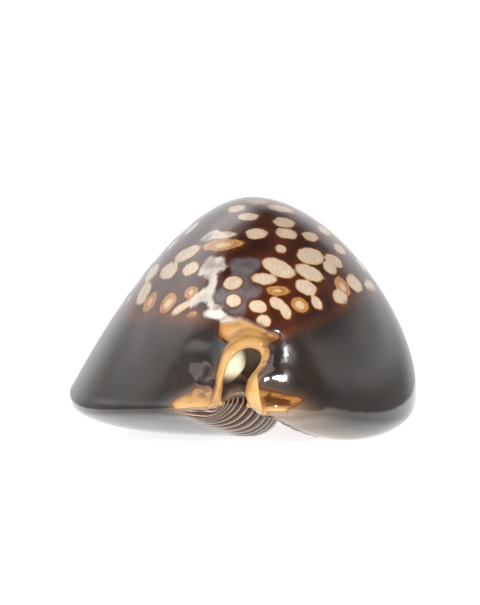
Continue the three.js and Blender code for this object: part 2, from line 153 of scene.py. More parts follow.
def dome_ring(s, angle):
    """The outside at an angle that runs from 0 at the rear pole to 180 degrees at the front pole."""
    rear = math.cos(angle) > 0
    y = PEAK_Y - (REAR_REACH if rear else FRONT_REACH) * math.cos(angle)
    swell = math.sin(angle)
    middle = float(middle_x(y))
    reach = HALF_WIDTH * swell ** (0.85 if rear else 0.92)
    left, right = middle - reach, middle + reach
    top = 17.3 + (HEIGHT - 17.3) * swell**1.3 if rear else 13 + (HEIGHT - 13) * swell**1.2
    crest = middle + CREST_X * swell**2
    z_left, z_right = float(margin_z_inner(y)), float(margin_z_outer(y))
    floor_left, floor_right = float(base_z_inner(y)), float(base_z_outer(y))
    lip_left, lip_right = float(slot_x(y) - slot_half(y)), float(slot_x(y) + slot_half(y))
    rise = float(lip_rise(y))
    flat = lip_left - left
    roll = min(7, 0.36 * flat)
    nose_z = z_left + 2.32 * min(1, (top - z_left) / 30)
    nose_x = left + 0.42 * (nose_z - z_left)
    low = lip_right + 0.36 * (right - lip_right)
    return on_spans([
        (0.096, (lip_left - 0.5, floor_left + rise), (lip_left - 0.9, floor_left + 0.4 * rise),
         (lip_left - 0.45 * roll, floor_left), (lip_left - roll, floor_left)),
        (MARGIN_LEFT, (lip_left - roll, floor_left), (lip_left - roll - 0.5 * (flat - roll), floor_left),
         (left + 0.2, z_left - 0.72 * (z_left - floor_left)), (left, z_left)),
        (NOSE_END, (left, z_left), (left, 0.55 * z_left + 0.45 * nose_z),
         (0.55 * left + 0.45 * nose_x, 0.45 * z_left + 0.55 * nose_z), (nose_x, nose_z)),
        (CREST, (nose_x, nose_z), (nose_x + 0.125 * (crest - nose_x), nose_z + 0.22 * (top - nose_z)),
         (crest - 0.42 * (crest - nose_x), top), (crest, top)),
        (MARGIN_RIGHT, (crest, top), (crest + 0.47 * (right - crest), top),
         (right, z_right + 0.39 * (top - z_right)), (right, z_right)),
        (0.904, (right, z_right), (right, 0.4 * z_right + 0.6 * floor_right),
         (low + 0.45 * (right - low), floor_right), (low, floor_right)),
        (1.0, (low, floor_right), (0.5 * (low + lip_right), floor_right),
         (lip_right + 1, floor_right + 0.8), (lip_right + 0.5, floor_right + 2.2))], s, y)


def hollow_ring(s, y):
    """The inside of the wall, with the inner whorl bulging up from its floor on the inner-lip side."""
    lip_left, lip_right = float(slot_x(y) - slot_half(y)), float(slot_x(y) + slot_half(y))
    thick = float(lip_thickness(y))
    left, right, top = float(hollow_left(y)), float(hollow_right(y)), float(hollow_top(y))
    floor = float(base_z_inner(y)) + thick + 1
    rise = top - floor
    edge_left = (lip_left - 0.5, float(base_z_inner(y) + lip_rise(y)) + 0.55 * thick)
    edge_right = (lip_right + 0.5, float(base_z_outer(y)) + 2.2 + 0.62 * thick)
    step = (lip_left - 0.9 - 0.04 * (lip_left - left), max(floor + 0.5, edge_left[1] + 0.3))
    width = step[0] - left
    corner_left, corner_right = (left, floor + 0.16 * rise), (right, floor + 0.12 * rise)
    summit = (0.5 * (left + right) + 1, top)
    hill = (min(step[0] - 0.3 * width, float(whorl_edge(y)) - 2.5), floor + 0.6 * rise)
    foot = (left + 0.2 * width, floor + 0.1 * rise)
    up = hill[1] - step[1]
    brow = (float(whorl_edge(y)), step[1] + 0.38 * up)
    nook = min(step[0], brow[0]) - 1.5
    on_lip = (0.1, edge_left, (edge_left[0] - 0.25, edge_left[1] + 0.15),
              (step[0] + 0.1, step[1] - 0.15), step)
    overhead = [
        (0.6, corner_left, (left + 0.02 * (right - left), floor + 0.42 * rise),
         (summit[0] - 0.46 * (summit[0] - left), top), summit),
        (0.86, summit, (summit[0] + 0.52 * (right - summit[0]), top),
         (right, floor + 0.5 * rise), corner_right),
        (1.0, corner_right, (right, floor - 0.02 * rise),
         (edge_right[0] + 0.35 * (right - edge_right[0]), floor + 0.1), edge_right)]
    plain = on_spans([
        on_lip,
        (0.42, step, (step[0] - 0.3 * width, floor + 0.2), (left + 0.3 * width, floor - 0.3), corner_left),
        *overhead], s, y)
    whorled = on_spans([
        on_lip,
        (0.196, step, (nook, step[1] + 0.14 * up), (brow[0], brow[1] - 0.2 * up), brow),
        (0.276, brow, (brow[0], brow[1] + 0.25 * up), (hill[0] + 0.45 * (brow[0] - hill[0]), hill[1]), hill),
        (0.378, hill, (step[0] - 0.62 * width, hill[1]), (left + 0.24 * width, floor + 0.3 * rise), foot),
        (0.42, foot, (left + 0.17 * width, floor - 0.02 * rise),
         (left + 0.02 * width, floor - 0.02 * rise), corner_left),
        *overhead], s, y)
    share = float(inner_whorl(y))
    return plain * (1 - share) + whorled * share


def rim_leaving(s, rim, rear):
    """The way the outside leaves a notch rim: ahead and a little outward, sideways at the two feet."""
    near_left = np.exp(-((s - MARGIN_LEFT) / 0.05)**2)[:, None]
    near_right = np.exp(-((s - MARGIN_RIGHT) / 0.035)**2)[:, None]
    spread = rim - (np.array((-0.8, 0, 10.2)) if rear else np.array((1.2, 0, 8)))
    spread[:, 1] = 0
    spread *= 2 / np.linalg.norm(spread, axis=1)[:, None]
    leaving = np.array((0, 7, 0)) + (spread if rear else -spread)
    if rear:
        leaving[(s < MARGIN_LEFT) | (s > MARGIN_RIGHT)] = (0, 6, -1)
    side_left, side_right = (((-9, 1, -0.3), (11, 1.5, -0.3)) if rear else ((8, 2, 0), (-8, 2, 0)))
    return (leaving * (1 - near_left - near_right) + near_left * np.array(side_left)
            + near_right * np.array(side_right))


COLUMNS, DOME_ROWS, COLLAR_ROWS, BEAD_ROWS = 264, 213, 24, 6


def column_places(count):
    """Places round a ring, closer together at the lips and the margins."""
    s = np.linspace(0, 1, 4001)
    density = (1 + 1.6 * np.exp(-((s - MARGIN_LEFT) / 0.03)**2)
               + 1.2 * np.exp(-((s - MARGIN_RIGHT) / 0.03)**2)
               + 2 * np.exp(-(s / 0.05)**2) + 2 * np.exp(-((1 - s) / 0.05)**2)
               + 0.8 * np.exp(-((s - CREST) / 0.16)**4))
    total = np.concatenate([[0], np.cumsum((density[1:] + density[:-1]) / 2)])
    return np.interp(np.linspace(0, 1, count + 1), total / total[-1], s)


def face_rows(rings, rear_rim, front_rim, leave_rear, arrive_rear, leave_front, arrive_front, collar_rows):
    """One face of the wall from the rear rim to the front rim: a collar, the rings and the other collar."""
    steps = [r / collar_rows for r in range(collar_rows + 1)]
    rear = [join(rear_rim, leave_rear, rings[0], arrive_rear, u) for u in steps[:-1]]
    front = [join(rings[-1], leave_front, front_rim, arrive_front, u) for u in steps[1:]]
    return np.array(rear + rings + front)


def rate(ring, s, at):
    return (ring(s, at + 0.01) - ring(s, at - 0.01)) / 0.02


places = column_places(COLUMNS)
dome = [dome_ring(places, a) for a in np.linspace(REAR_START, FRONT_START, DOME_ROWS)]
rear_rim, front_rim = rear_rim_outside(places), front_rim_outside(places)
outside = face_rows(dome, rear_rim, front_rim, rim_leaving(places, rear_rim, True),
                    rate(dome_ring, places, REAR_START) * 0.32, rate(dome_ring, places, FRONT_START) * 0.3,
                    rim_leaving(places, front_rim, False), COLLAR_ROWS)

# The inner face has half as many rows and columns, because it only shows through the openings.
inner_places = places[::2]
dome_y = np.array([ring[0, 1] for ring in dome[::2]])
inner_y = np.interp(dome_y, dome_y[[0, -1]], [dome_y[0] + 1, dome_y[-1] - 1])
ahead = np.array((0, 5, 0))
inside = face_rows([hollow_ring(inner_places, float(y)) for y in inner_y],
                   rear_rim_inside(inner_places), front_rim_inside(inner_places),
                   ahead, rate(hollow_ring, inner_places, float(inner_y[0])) * 5,
                   rate(hollow_ring, inner_places, float(inner_y[-1])) * 5, ahead, COLLAR_ROWS // 2)

# The free edge, once round: rear rim, outer lip, front rim, inner lip. It is rounded to a bead.
rows, cols = outside.shape[0] - 1, outside.shape[1] - 1
edge = np.array([(0, c) for c in range(cols + 1)] + [(r, cols) for r in range(1, rows + 1)]
                + [(rows, c) for c in range(cols - 1, -1, -1)] + [(r, 0) for r in range(rows - 1, 0, -1)])
outer_edge = outside[edge[:, 0], edge[:, 1]]
inner_edge = inside[edge[::2, 0] // 2, edge[::2, 1] // 2]
opposite = np.empty_like(outer_edge)
opposite[::2] = inner_edge
opposite[1::2] = (inner_edge + np.roll(inner_edge, -1, 0)) / 2
way_out = np.zeros_like(outer_edge)
way_out[edge[:, 0] == 0] += (0, -1, 0)
way_out[edge[:, 0] == rows] += (0, 1, 0)
way_out[edge[:, 1] == 0] += (1, 0, 0)
way_out[edge[:, 1] == cols] += (-1, 0, 0)
for _ in range(4):
    way_out = (np.roll(way_out, 1, 0) + np.roll(way_out, -1, 0) + 2 * way_out) / 4
half = (outer_edge - opposite) / 2
thick = np.linalg.norm(half, axis=1)[:, None]
way_out -= half * (way_out * half).sum(1)[:, None] / thick**2
way_out /= np.linalg.norm(way_out, axis=1)[:, None]
bulge = np.minimum(thick, BEAD)**0.35 * thick**0.65
bead = [(outer_edge + opposite) / 2 + half * math.cos(math.pi * b / BEAD_ROWS)
        + way_out * bulge * math.sin(math.pi * b / BEAD_ROWS) for b in range(1, BEAD_ROWS)]
points = np.concatenate([outside.reshape(-1, 3), *bead, inside.reshape(-1, 3)])
bead_start, inside_start = outside[..., 0].size, outside[..., 0].size + (BEAD_ROWS - 1) * len(edge)


def grid_faces(rows, cols, start, turned):
    i = start + np.arange(rows * cols).reshape(rows, cols)
    quads = np.stack([i[:-1, :-1], i[:-1, 1:], i[1:, 1:], i[1:, :-1]], -1).reshape(-1, 4)
    return (quads[:, ::-1] if turned else quads).tolist()


faces = grid_faces(rows + 1, cols + 1, 0, False)
faces += grid_faces(inside.shape[0], inside.shape[1], inside_start, True)
loops = [edge[:, 0] * (cols + 1) + edge[:, 1]] + [bead_start + b * len(edge) + np.arange(len(edge))
                                                 for b in range(BEAD_ROWS - 1)]
for first, second in zip(loops[:-1], loops[1:]):
    faces += np.stack([first, second, np.roll(second, -1), np.roll(first, -1)], -1).tolist()
last = loops[-1]
inner_loop = inside_start + edge[::2, 0] // 2 * inside.shape[1] + edge[::2, 1] // 2
for k, corner in enumerate(inner_loop):
    nearby, after = int(inner_loop[(k + 1) % len(inner_loop)]), int(last[(2 * k + 2) % len(last)])
    faces.append([int(last[2 * k]), int(corner), int(last[2 * k + 1])])
    faces.append([int(last[2 * k + 1]), int(corner), nearby, after])

# The base is level where it meets the ground.
points[:, 2] = np.maximum(points[:, 2], 0)


def reach_from_edges(grid):
    """How far each point lies from the rear rim, the front rim and the two lips, along the surface."""
    down = np.linalg.norm(np.diff(grid, axis=0), axis=2)
    down = np.vstack([np.zeros(grid.shape[1]), np.cumsum(down, axis=0)])
    across = np.linalg.norm(np.diff(grid, axis=1), axis=2)
    across = np.hstack([np.zeros((grid.shape[0], 1)), np.cumsum(across, axis=1)])
    return down, down[-1] - down, across, across[:, -1:] - across


def over_the_wall(outer, inner):
    """One value for every point: the outer face, the bead (as its edge) and the inner face."""
    at_edge = outer[edge[:, 0], edge[:, 1]]
    return np.concatenate([outer.ravel(), np.tile(at_edge, BEAD_ROWS - 1), inner.ravel()])


# These distances are negative inside the wall.
from_rear, from_front, from_inner_lip, from_outer_lip = (
    over_the_wall(o, -i) for o, i in zip(reach_from_edges(outside), reach_from_edges(inside)))
round_s = over_the_wall(np.tile(places, (rows + 1, 1)), np.tile(inner_places, (inside.shape[0], 1)))
lip_share = np.minimum(round_s, 1 - round_s)
is_inner = np.zeros(len(points))
is_inner[inside_start:] = 1
for b in range(1, BEAD_ROWS):
    is_inner[bead_start + (b - 1) * len(edge):bead_start + b * len(edge)] = b / BEAD_ROWS
x, y, z = points.T


def smooth(low, high, value):
    t = np.clip((value - low) / (high - low), 0, 1)
    return t * t * (3 - 2 * t)


def off_line(corners):
    """How far each point lies, seen from the rear, from a line through corners."""
    nearest = np.full(len(points), 99.0)
    for (ax, az), (bx, bz) in zip(corners[:-1], corners[1:]):
        t = np.clip(((x - ax) * (bx - ax) + (z - az) * (bz - az)) / ((bx - ax)**2 + (bz - az)**2), 0, 1)
        nearest = np.minimum(nearest, np.hypot(x - ax - t * (bx - ax), z - az - t * (bz - az)))
    return nearest


def patch(corners):
    """How far each point lies inside a patch, whose corners go round it as seen from the rear."""
    nearest, within = off_line(corners + corners[:1]), np.zeros(len(points), bool)
    for (ax, az), (bx, bz) in zip(corners, corners[1:] + corners[:1]):
        if az != bz:
            within ^= ((az > z) != (bz > z)) & (x < ax + (z - az) * (bx - ax) / (bz - az))
    return np.where(within, nearest, -nearest)


# Golden enamel: a band on each rim, wide on the two feet and on the shelf over the rear notch.
# The bands are half widths at places round the ring; OFF marks a point far outside a field.
OFF = -9
rear_gold = along([
    (0, 0.3), (0.21, 0.4), (0.235, 0.8), (0.25, 1.5), (0.28, 0.6), (0.3, 0.2), (0.42, 0.2),
    (0.45, 0.8), (0.56, 0.8), (0.61, 0.4), (0.71, 0.6), (0.75, 1.2), (0.79, 0.8), (0.84, 0.5),
    (1, 0.3)])
front_gold = along([
    (0, 1.2), (0.24, 2.6), (0.3, 1), (0.42, 1.4), (0.5, 2.6), (0.58, 1.4), (0.7, 1), (0.76, 2.6),
    (1, 1.2)])
at_rear = (y < -25) & (is_inner < 1)
shelf = np.where(at_rear, patch([
    (-3.8, 19.1), (-3.9, 16.8), (-3.4, 16.6), (-2.4, 16), (1.1, 13.8), (3.4, 15.3), (4.2, 16),
    (5.2, 16.4), (5.5, 17), (4.8, 17.4), (3.7, 17.6), (2.4, 18.4), (0.8, 19.3), (-0.8, 19.8),
    (-1.9, 19.5)]), OFF)
# The feet end where the wall turns under; a ring is about 150 round.
RING_LENGTH, FOOT_EDGE = 150, 0.228
above_base = RING_LENGTH * (lip_share - FOOT_EDGE)
left_foot = patch([
    (-2, 10.6), (-4, 9.9), (-4.7, 9.3), (-6, 9), (-7.5, 9), (-8.2, 8.2), (-9.3, 7.8), (-10.4, 7.3),
    (-10.9, 6.6), (-10, 4), (-2, 4)])
right_foot = patch([
    (0, 9.6), (2.3, 8.9), (4.5, 8.5), (6, 8.1), (7.2, 7.9), (8.4, 7.7), (8.9, 7.2), (8, 6.4),
    (6.7, 5.9), (5.5, 3), (0, 3)])
feet = np.where(at_rear, np.minimum(np.maximum(left_foot, right_foot), above_base), OFF)
gold = np.maximum(rear_gold(round_s) - np.abs(from_rear), front_gold(round_s) - np.abs(from_front))
BAND_ON_BEAD = 0.9
gold[(is_inner > 0) & (is_inner < 1)] += BAND_ON_BEAD
gold = np.maximum.reduce([gold, shelf, feet])

# How brown the gold is: palest on the rims, browner up the feet, at the shelf's left end and on the
# right of the arch.
tone = (0.15 + 0.7 * smooth(6.4, 8.2, z)) * smooth(-3.8, -4.6, x) * (z < 11)
tone += (0.35 + 0.6 * smooth(5.8, 7.2, z)) * smooth(2, 3.4, x) * (z < 9.2)
tone += (0.3 + 0.6 * smooth(-2.8, -3.8, x) - 0.3 * smooth(3, 5, x)) * smooth(16, 17.4, z)
tone += 0.85 * smooth(0.85, 0.45, is_inner) * smooth(0.53, 0.6, round_s) * smooth(0.765, 0.74, round_s)
tone = np.clip(tone, 0, 1) * at_rear

# The spotted back: above an uneven line on the sides and the ends.
rear_line = along([
    (-24, 21), (-20, 20.2), (-10, 19.8), (-4, 19), (0, 18.4), (5.4, 17.2), (11, 19.4), (17, 22.2),
    (21, 23.4), (26, 24)])
front_line = along([(-20, 20), (-6, 16), (1, 14.5), (8, 16), (20, 21)])
side_line = np.where(x < 0, 21.5, 23.0)
past_rear, past_side = smooth(-14, 0, y), smooth(12, 26, y)
line = rear_line(x) * (1 - past_rear) + side_line * past_rear * (1 - past_side) + front_line(x) * past_side
back = z - line
back[is_inner > 0] = OFF
back = np.minimum(back, 0.8 * (y + 38.4) + 0.25 * np.abs(x))

# Spots of the rear slope: across and up as seen from the rear end, half sizes, tilt in degrees, and warmth.
rear_spots = [
    (2.3, 38.1, 1.72, 0.42, -4, 1), (-1.2, 36.9, 1.51, 0.57, 8, 0.2), (6, 37, 2.09, 0.53, -12, 0.2),
    (0.7, 35.5, 1.59, 0.67, 0, 0.1), (6.4, 34.6, 1.72, 0.82, -8, 0.1), (2, 32.7, 1.7, 0.89, 0, 0.1),
    (6.8, 32.8, 1.77, 0.84, -8, 0.1), (10.6, 32.4, 1.31, 0.68, -20, 0.2),
    (5.8, 30.3, 0.85, 0.62, -15, 0.4), (-3.2, 30.9, 3.03, 0.85, 5, 0.9),
    (-3.2, 32.4, 2.03, 0.48, 8, 0.3), (-9, 29.6, 2.33, 0.86, 28, 0.3),
    (-11.9, 26.9, 1.64, 1.08, 38, 0.4), (-8.3, 27.2, 1.43, 0.85, 32, 0.5),
    (10.5, 29.2, 2.13, 1.33, -10, 0.3), (14.3, 28.5, 1.59, 0.79, -30, 0.3),
    (5.4, 27.3, 2.73, 1.24, -25, 0.1), (10.2, 26.6, 2.48, 1.06, -25, 0.1),
    (13.6, 27.5, 1.3, 0.93, -45, 0.5), (3.1, 25.6, 1.9, 0.87, -5, 0.5),
    (5.2, 23.8, 1.72, 0.76, -5, 1), (-1.7, 25, 1.44, 0.99, 12, 0.2),
    (9.6, 24.3, 1.82, 1.09, -25, 0.3), (15.5, 24.4, 1.67, 0.89, -55, 0.9),
    (17.6, 25, 1.69, 0.94, -52, 0.3), (15.1, 22.8, 1.38, 1.01, -42, 0.3),
    (11.3, 21.9, 1.27, 0.73, -48, 0.5), (-16, 23.3, 2.07, 0.79, 60, 0.3),
    (-14.8, 21.9, 1.76, 0.74, 62, 1.1), (-11.7, 21.9, 1.83, 0.95, 55, 1.1),
    (-8.1, 23.5, 1.09, 0.84, 40, 1.2), (-9.8, 21, 2, 0.54, 35, 0.2),
    (-1.6, 22.3, 1.11, 0.97, 0, 0.1), (2.1, 21.4, 1.44, 0.9, -10, 0.2),
    (5, 21.9, 1.26, 0.83, -25, 0.2), (6.4, 20.7, 1.26, 0.76, -60, 0.2),
    (8.6, 21.6, 1.45, 1.05, -30, 1.5), (3, 19.2, 1.11, 0.93, -10, 0.2),
    (-14.8, 26.6, 1.71, 0.67, 50, 0.3), (15.5, 30.4, 1.14, 0.57, -40, 0.3),
    (20.4, 24.4, 1.25, 0.76, -58, 0.3), (-8, 20.1, 0.81, 0.47, 20, 1),
    (13, 33.5, 1.15, 0.5, -32, 0.3)]
spot = np.full(len(points), -3.0)
warmth = np.zeros(len(points))
on_back = is_inner == 0
for sx, sz, a, b, tilt, warm in rear_spots:
    c, s = math.cos(math.radians(tilt)), math.sin(math.radians(tilt))
    dx, dz = x - sx, z - sz
    inside_by = (1 - np.hypot((dx * c + dz * s) / a, (dz * c - dx * s) / b)) * min(a, b)
    nearer = on_back & (y < -8) & (inside_by > spot)
    spot[nearer], warmth[nearer] = inside_by[nearer], warm

# The rest of the back is spotted by chance, each spot as far from the others as its size asks.
SEED = 11
TRIES = 9000
SMALLEST_SPOT, LARGEST_SPOT = 1.2, 2.2
SPOT_GAP = 0.95
chance = np.random.default_rng(SEED)
taken = []
for i in chance.permutation(np.flatnonzero(on_back & (back > 0.6)))[:TRIES]:
    size = chance.uniform(SMALLEST_SPOT, LARGEST_SPOT) * (0.75 if back[i] < 3 else 1)
    gaps = [np.linalg.norm(points[i] - points[j]) - size - other for j, other in taken]
    off_rear_slope = y[i] > -13 or abs(x[i]) > 20
    if off_rear_slope and spot[i] < -size - 0.1 and min(gaps, default=9) > SPOT_GAP:
        taken.append((i, size))
for i, size in taken:
    away = (points - points[i]) * (1.08, 0.9, 1)
    inside_by = size - np.linalg.norm(away, axis=1)
    nearer = on_back & (inside_by > spot)
    spot[nearer], warmth[nearer] = inside_by[nearer], (0.9 if back[i] < 2.4 else 0.3)


# The rear end as the animal left it: a slight swelling on each side of the arch, the left one over the
# buried spire, and the shelf over the arch, a little sunken. The scar and the chip are cut into it.
def bell(at_x, at_z, wide, high, tilt=0):
    c, s = math.cos(math.radians(tilt)), math.sin(math.radians(tilt))
    dx, dz = x - at_x, z - at_z
    return np.exp(-(((dx * c + dz * s) / wide)**2 + ((dz * c - dx * s) / high)**2)**1.3)


rear_face = on_back * smooth(-20, -24, y)
clear_of_rim = smooth(0.6, 2.2, from_rear)
scar = patch([
    (-5.7, 29), (-3.3, 29.3), (-2.9, 28.2), (-2.4, 27.6), (-2.8, 27), (-4.1, 26.4), (-4.2, 24.7),
    (-4.4, 23.6), (-4.8, 22.7), (-4.5, 21.9), (-3.3, 21.6), (-3, 20.7), (-2.4, 20), (-1.1, 19.7),
    (-0.2, 19.8), (0.1, 19.2), (-2.1, 19), (-3.6, 19.1), (-4.8, 19.5), (-6, 19.8), (-6.3, 20.6),
    (-5.4, 21.2), (-5.7, 22.1), (-6.7, 22.1), (-7.6, 21.3), (-8.2, 20.8), (-8.7, 21.5),
    (-8.2, 22.8), (-6.7, 23.8), (-5.9, 24.5), (-5.5, 25.4), (-6.3, 26.1), (-7.4, 26.1), (-6.9, 27),
    (-6.3, 28.1)])
scar = np.maximum(scar, patch([
    (-8.6, 33.2), (-6, 33.6), (-1.8, 33), (-1.2, 32.5), (-2.1, 32.2), (-4.6, 31.9), (-6.4, 31.5),
    (-7.5, 31.8), (-8.9, 32)]))
flake = patch([
    (-6.3, 20.6), (-5.1, 21), (-3.6, 21), (-2.6, 20.2), (-3.3, 19.5), (-4.5, 19.3), (-5.7, 19.8)])
milk = patch([
    (-2.1, 28.7), (-0.5, 29), (1.3, 29), (2.9, 28.8), (2.7, 27.6), (1.6, 26.7), (1.5, 24.8),
    (2.8, 24.5), (3, 23.6), (2.1, 22.9), (1.1, 22.4), (0.5, 21.2), (0.1, 20), (-0.8, 19.8),
    (-1.9, 20.1), (-2.8, 20.6), (-3.4, 21.5), (-4.7, 22.4), (-4.4, 23.6), (-3.3, 24.5),
    (-2.4, 25.4), (-1.9, 26.7), (-2.5, 27.6)])
CHIP_HALF_WIDTH = 0.55
chip = CHIP_HALF_WIDTH - off_line([
    (-4.4, 9.3), (-5, 10), (-6.1, 9.9), (-6.9, 10.2), (-6, 10.9), (-5.6, 12.2)])
SPIRE_X, SPIRE_Z = -7, 13.8
spire = np.hypot(x - SPIRE_X, z - SPIRE_Z)
below_spire = smooth(-0.3, 0.6, (SPIRE_Z - z + x - SPIRE_X) / -spire.clip(0.5))
crescent = np.exp(-((spire - 2.4) / 0.7)**2) * below_spire
rise = (0.35 * bell(5.4, 9, 3.2, 5, -8) * clear_of_rim
        + 0.35 * bell(SPIRE_X, SPIRE_Z, 2.2, 2.2) - 0.15 * crescent
        - 0.6 * smooth(1.2, 2, from_rear) * smooth(-0.1, 0.6, shelf)
        - 0.16 * smooth(0, 0.5, scar) - 0.5 * smooth(0, 0.4, chip)) * rear_face
points[:, 1] -= rise
for field in (scar, flake, milk, chip):
    field[rear_face < 0.5] = -3

# Where the teeth stand: a count along each lip from the rear, and how high they rise, fading out on
# the base, inside the wall and by the two notches.
inner_count = along([
    (-40.5, 0), (-37, 3.2), (-33, 6.2), (-27, 9.4), (-19, 12), (-8, 15), (4, 18.2), (16, 21.4),
    (26, 24.4), (34, 27.4), (39, 29.6)])
outer_count = along([
    (-38, 0), (-34, 1.6), (-26, 4.2), (-14, 7.6), (0, 11.4), (14, 15.2), (26, 18.6), (34, 21.2),
    (39, 23.4)])
inner_side = from_inner_lip < from_outer_lip
to_lip = np.minimum(from_inner_lip, from_outer_lip)
inside_wall = is_inner > 0.6
to_lip[inside_wall] = -np.minimum(np.abs(from_inner_lip), np.abs(from_outer_lip))[inside_wall]
inner_side[inside_wall] = (np.abs(from_inner_lip) < np.abs(from_outer_lip))[inside_wall]
tooth_count = np.where(inner_side, inner_count(y + 0.12 * np.maximum(to_lip, 0)), outer_count(y))
fade_out = np.where(inner_side, 1 - smooth(4.5, 9, to_lip), 1 - smooth(1.2, 3.6, to_lip))
tooth_rise = (fade_out * (1 - smooth(1.2, 3.4, -to_lip)) * smooth(0.2, 1.2, np.abs(from_rear))
              * smooth(0.6, 3, np.abs(from_front)) * np.where(inner_side, 0.42, 0.5))
tooth_rise *= np.where(inner_side, 0.55 + 0.45 * smooth(-38, -28, y), 1)
tooth_rise *= np.where(y < -15, smooth(7.8, 6.4, z), 1)
tooth_rise *= smooth(0.225, 0.18, lip_share) * np.where(inside_wall, smooth(0.16, 0.1, lip_share), 1)

# Teeth and enamel of the shell wall
# The lips carry rounded teeth, raised across the wall's edge. The mantle glazed the whole shell with
# enamel. The distances found above lie on the wall, and say where each colour of enamel begins.
MM = 0.001
shell_mesh = bpy.data.meshes.new("bare_wall")
shell_mesh.from_pydata((points * MM).tolist(), [], faces)
shell_mesh.polygons.foreach_set("use_smooth", [True] * len(shell_mesh.polygons))
fields = {"gold": gold, "tone": tone, "back": back, "spot": spot, "warmth": warmth, "inner": is_inner,
          "scar": scar, "flake": flake, "milk": milk, "chip": chip, "to_lip": to_lip,
          "tooth_count": tooth_count, "tooth_rise": tooth_rise}
for name, values in fields.items():
    layer = shell_mesh.attributes.new(name, "FLOAT", "POINT")
    layer.data.foreach_set("value", values.astype(np.float32))
bare = bpy.data.objects.new("bare_wall", shell_mesh)
bpy.context.collection.objects.link(bare)

enamel = bpy.data.materials.new("enamel")
enamel.use_nodes = True
tree = enamel.node_tree
tree.nodes.clear()
out = tree.nodes.new("ShaderNodeOutputMaterial")
gloss = tree.nodes.new("ShaderNodeBsdfPrincipled")
tree.links.new(gloss.outputs[0], out.inputs[0])
gloss.inputs["IOR"].default_value = 1.6


def read(name):
    node = tree.nodes.new("ShaderNodeAttribute")
    node.attribute_name = name
    return node.outputs["Fac"]


def ramp(value, low, high, to_low=0.0, to_high=1.0):
    node = tree.nodes.new("ShaderNodeMapRange")
    node.interpolation_type = "SMOOTHSTEP"
    for socket, number in zip(("From Min", "From Max", "To Min", "To Max"), (low, high, to_low, to_high)):
        node.inputs[socket].default_value = number
    tree.links.new(value, node.inputs["Value"])
    return node.outputs["Result"]


def blend(share, under, over):
    node = tree.nodes.new("ShaderNodeMix")
    node.data_type = "RGBA"
    for name, value in (("Factor", share), ("A", under), ("B", over)):
        socket = node.inputs[name]
        if isinstance(value, bpy.types.NodeSocket):
            tree.links.new(value, socket)
        else:
            socket.default_value = (*value, 1) if isinstance(value, tuple) else value
    return next(o for o in node.outputs if o.type == "RGBA")


def sum_of(operation, first, second):
    node = tree.nodes.new("ShaderNodeMath")
    node.operation = operation
    for socket, value in ((node.inputs[0], first), (node.inputs[1], second)):
        if isinstance(value, bpy.types.NodeSocket):
            tree.links.new(value, socket)
        else:
            socket.default_value = value
    return node.outputs[0]


place = tree.nodes.new("ShaderNodeTexCoord").outputs["Object"]


def mottle(scale, detail=3.0, stretch=(1, 1, 1), turn=(0, 0, 0)):
    """Noise in the wall itself; the scale is in features a metre."""
    lay = tree.nodes.new("ShaderNodeMapping")
    lay.inputs["Scale"].default_value, lay.inputs["Rotation"].default_value = stretch, turn
    tree.links.new(place, lay.inputs["Vector"])
    node = tree.nodes.new("ShaderNodeTexNoise")
    node.inputs["Scale"].default_value, node.inputs["Detail"].default_value = scale, detail
    tree.links.new(lay.outputs[0], node.inputs["Vector"])
    return node.outputs["Fac"]


def wander(value, scale, reach, detail=2.0):
    """A distance whose edge wanders by the reach, in millimetres."""
    return sum_of("ADD", value, sum_of("MULTIPLY", sum_of("SUBTRACT", mottle(scale, detail), 0.5), reach))


cloud = mottle(140, 4)
grain = mottle(700, 3)
striae = mottle(700, 2, (9, 0.6, 1.4), (0.25, 0.5, 0.4))

# Dark sides, and the brown back with its pale spots. A spot has an amber rim and fine lines of growth,
# and a stain like milk lies between the spots beside the scar.
side = blend(ramp(cloud, 0.35, 0.7), (0.012, 0.010, 0.009), (0.022, 0.015, 0.012))
between = blend(ramp(cloud, 0.35, 0.65), (0.02, 0.005, 0.003), (0.05, 0.012, 0.005))
milky = wander(read("milk"), 500, 0.9, 4.0)
stain = blend(ramp(grain, 0.3, 0.7), (0.075, 0.058, 0.06), (0.125, 0.104, 0.108))
between = blend(ramp(milky, -0.3, 0.5, 0, 0.75), between, stain)
pale = blend(ramp(striae, 0.36, 0.68), (0.36, 0.275, 0.2), (0.45, 0.355, 0.26))
amber = blend(ramp(striae, 0.36, 0.68), (0.22, 0.085, 0.02), (0.34, 0.16, 0.05))
spot_edge = wander(read("spot"), 600, 0.5)
warm = read("warmth")
heart = blend(ramp(warm, 0.5, 1.0), pale, blend(ramp(spot_edge, 0.3, 0.65), amber, (0.42, 0.3, 0.19)))
heart = blend(ramp(spot_edge, 0.24, 0.02, 0, 0.5), heart, (0.42, 0.2, 0.06))
spotted = blend(ramp(spot_edge, -0.5, -0.05, 0, 0.6), between, (0.065, 0.018, 0.005))
spotted = blend(ramp(spot_edge, -0.1, 0.1), spotted, heart)
back_edge = wander(read("back"), 160, 2.2)
border = blend(ramp(cloud, 0.3, 0.7), (0.035, 0.01, 0.004), (0.085, 0.024, 0.007))
colour = blend(ramp(back_edge, -2.2, 0.4), side, border)
colour = blend(ramp(back_edge, -0.3, 1.1), colour, spotted)

